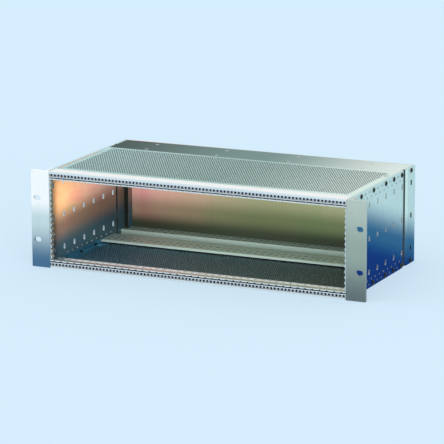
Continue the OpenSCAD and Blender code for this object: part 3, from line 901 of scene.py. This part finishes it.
class CAGE_OT_rear_panel(FinishOperator, bpy.types.Operator):
    """Cloudy yellow chromate on the rear panel, from rosy on the left over a darker middle to olive on
    the right, partly the film's tint and partly painted reflection, with painted shade towards the foot
    """

    bl_idname = "cage.rear_panel"
    bl_label = "Rear panel"

    def execute(self, context):
        metal = brushed_metal(
            "rear_panel_metal", self.base, (5000, 5000, 60), roughness=0.36, depth=0.15,
            metallic=FILM_METALLIC,
        )
        wear(metal, "rear_panel")
        return {"FINISHED"}

    def base(self, graph):
        c = self.colours
        # Painted reflection across the panel, partly the film's tint, and painted shade from half way
        # down to the foot
        head = across(graph, c.panel_left, c.panel_middle, c.panel_right)
        waist = graph.mix(1.0, head, PANEL_SHADE_WAIST, "MULTIPLY")
        faded = painted_light_fade(head, waist, c.panel_shade_foot, low=0.1, middle=0.28, high=0.5)(graph)
        return graph.group(
            "Chromate film", colour=faded, density=(14, 14, 5), strength=0.5
        )["Colour"]


class CAGE_OT_fasteners(FinishOperator, bpy.types.Operator):
    """Black oxide and zinc plated screws"""

    bl_idname = "cage.fasteners"
    bl_label = "Screws"

    def execute(self, context):
        c = self.colours
        fine = (4000, 4000, 4000)
        black = brushed_metal(
            "black_screw", plain(c.black), fine, roughness=0.4, metallic=0.4, edge=0.1 * MM
        )
        wear(black, *(f"side_screws_{side}" for side in SIDES))
        zinc = brushed_metal("zinc_screw", plain(c.zinc), fine, roughness=0.3, edge=0.1 * MM)
        wear(zinc, *(f"flange_screws_{side}" for side in SIDES))
        wear(zinc, *(f"cover_screws_{level}" for level in LEVELS), "panel_screws")
        return {"FINISHED"}


class CAGE_OT_studio(bpy.types.Operator):
    """Pale floor and background, soft lamps, and the camera"""

    bl_idname = "cage.studio"
    bl_label = "Studio"
    bl_options = {"REGISTER", "UNDO"}

    def execute(self, context):
        studio = context.scene.cage_studio
        self.make_floor(studio)
        self.make_sky(studio)
        self.make_lamp("key_light", KEY_DIRECTION, studio.key_light)
        self.make_lamp("front_light", FRONT_DIRECTION, studio.front_light)
        self.make_fill(studio)
        self.make_camera(studio)
        context.scene.view_settings.view_transform = "Standard"
        return {"FINISHED"}

    def make_floor(self, studio):
        """A floor as wide as can be seen. What the camera sees of it is its own colour, less shadow."""
        mesh = bpy.data.meshes.new("floor")
        signs = ((-1, -1), (1, -1), (1, 1), (-1, 1))
        corners = [(x * FLOOR_REACH, y * FLOOR_REACH, 0) for x, y in signs]
        mesh.from_pydata(corners, [], [(0, 1, 2, 3)])
        floor = bpy.data.objects.new("floor", mesh)
        bpy.context.scene.collection.objects.link(floor)
        made = bpy.data.materials.new("backdrop")
        made.use_nodes = True
        made.node_tree.nodes.clear()
        graph = Graph(made.node_tree)
        lit = [v * FLOOR_LIT for v in studio.backdrop]
        glow = [v * (1 - FLOOR_LIT * FLOOR_LIGHT) for v in studio.backdrop]
        matt = graph.add("ShaderNodeBsdfDiffuse", {"Color": lit}).outputs[0]
        seen = graph.add("ShaderNodeEmission", {"Color": glow, "Strength": self.seen_ray(graph)})
        both = graph.add("ShaderNodeAddShader", {0: matt, 1: seen.outputs[0]})
        graph.add("ShaderNodeOutputMaterial", {"Surface": both.outputs[0]})
        mesh.materials.append(made)

    def seen_ray(self, graph):
        """1 for rays from the camera and for those mirrored in metal, and 0 for the rest."""
        path = graph.add("ShaderNodeLightPath").outputs
        seen = graph.maths("MAXIMUM", path["Is Camera Ray"], path["Is Glossy Ray"])
        return graph.maths("MAXIMUM", seen, path["Is Transmission Ray"])

    def make_sky(self, studio):
        """Even light from all round, which the camera sees as the backdrop's colour."""
        world = bpy.data.worlds.new("studio")
        world.use_nodes = True
        world.node_tree.nodes.clear()
        graph = Graph(world.node_tree)
        camera_ray = graph.add("ShaderNodeLightPath").outputs["Is Camera Ray"]
        light = [studio.sky] * 3
        seen = graph.mix(camera_ray, light, tuple(studio.backdrop))
        sky = graph.add("ShaderNodeBackground", {"Color": seen, "Strength": 1.0})
        graph.add("ShaderNodeOutputWorld", {"Surface": sky.outputs[0]})
        bpy.context.scene.world = world

    def make_lamp(self, name, towards, strength):
        """A wide, soft lamp far away in the direction towards, which metal doesn't mirror."""
        data = bpy.data.lights.new(name, "SUN")
        data.angle = LAMP_ANGLE
        data.energy = strength
        lamp = bpy.data.objects.new(name, data)
        lamp.rotation_euler = Vector(towards).to_track_quat("Z", "Y").to_euler()
        lamp.visible_glossy = False
        bpy.context.scene.collection.objects.link(lamp)

    def make_fill(self, studio):
        """A lamp in the open front that shines backwards and lights the inside, itself unseen."""
        data = bpy.data.lights.new("fill_light", "AREA")
        data.shape = "RECTANGLE"
        data.size = studio.fill_width
        data.size_y = studio.fill_height
        data.energy = studio.fill_light
        lamp = bpy.data.objects.new("fill_light", data)
        lamp.location = (0.0, CAD_BOX[0].y + studio.fill_depth, CAD_BOX[1].z / 2)
        lamp.rotation_euler = (math.pi / 2, 0.0, 0.0)
        lamp.visible_camera = False
        lamp.visible_glossy = False
        bpy.context.scene.collection.objects.link(lamp)

    def make_camera(self, studio):
        data = bpy.data.cameras.new("camera")
        data.lens = studio.focal_length
        data.sensor_width = 36.0
        data.clip_end = 100.0
        camera = bpy.data.objects.new("camera", data)
        turn = Matrix.Rotation(studio.camera_turn, 4, "Z")
        dip = Matrix.Rotation(math.pi / 2 - studio.camera_dip, 4, "X")
        lean = Matrix.Rotation(studio.camera_lean, 4, "Z")
        camera.matrix_world = Matrix.Translation(studio.camera_place) @ turn @ dip @ lean
        bpy.context.scene.collection.objects.link(camera)
        bpy.context.scene.camera = camera


class CAGE_PT_panel(bpy.types.Panel):
    """Lists the steps and the values"""

    bl_label = "Card cage"
    bl_idname = "CAGE_PT_panel"
    bl_space_type = "VIEW_3D"
    bl_region_type = "UI"
    bl_category = "Card cage"

    def draw(self, context):
        for operator in OPERATORS:
            self.layout.operator(operator.bl_idname)
        for name in VALUES:
            group = getattr(context.scene, name)
            box = self.layout.box()
            for value in group.bl_rna.properties:
                if value.identifier not in ("rna_type", "name"):
                    box.prop(group, value.identifier)


VALUES = {"cage_sizes": CageSizes, "cage_colours": CageColours, "cage_studio": CageStudio}
OPERATORS = (
    CAGE_OT_flanges, CAGE_OT_sides, CAGE_OT_rails, CAGE_OT_covers,
    CAGE_OT_rear_panel, CAGE_OT_fasteners, CAGE_OT_studio,
)


def register():
    for made in (*VALUES.values(), *OPERATORS, CAGE_PT_panel):
        bpy.utils.register_class(made)
    for name, group in VALUES.items():
        setattr(bpy.types.Scene, name, bpy.props.PointerProperty(type=group))


def unregister():
    for name in VALUES:
        delattr(bpy.types.Scene, name)
    for made in (CAGE_PT_panel, *reversed(OPERATORS), *VALUES.values()):
        bpy.utils.unregister_class(made)


def main():
    register()
    bpy.ops.cage.flanges()
    bpy.ops.cage.sides()
    bpy.ops.cage.rails()
    bpy.ops.cage.covers()
    bpy.ops.cage.rear_panel()
    bpy.ops.cage.fasteners()
    bpy.ops.cage.studio()
    bpy.context.view_layer.update()


if __name__ == "__main__":
    main()
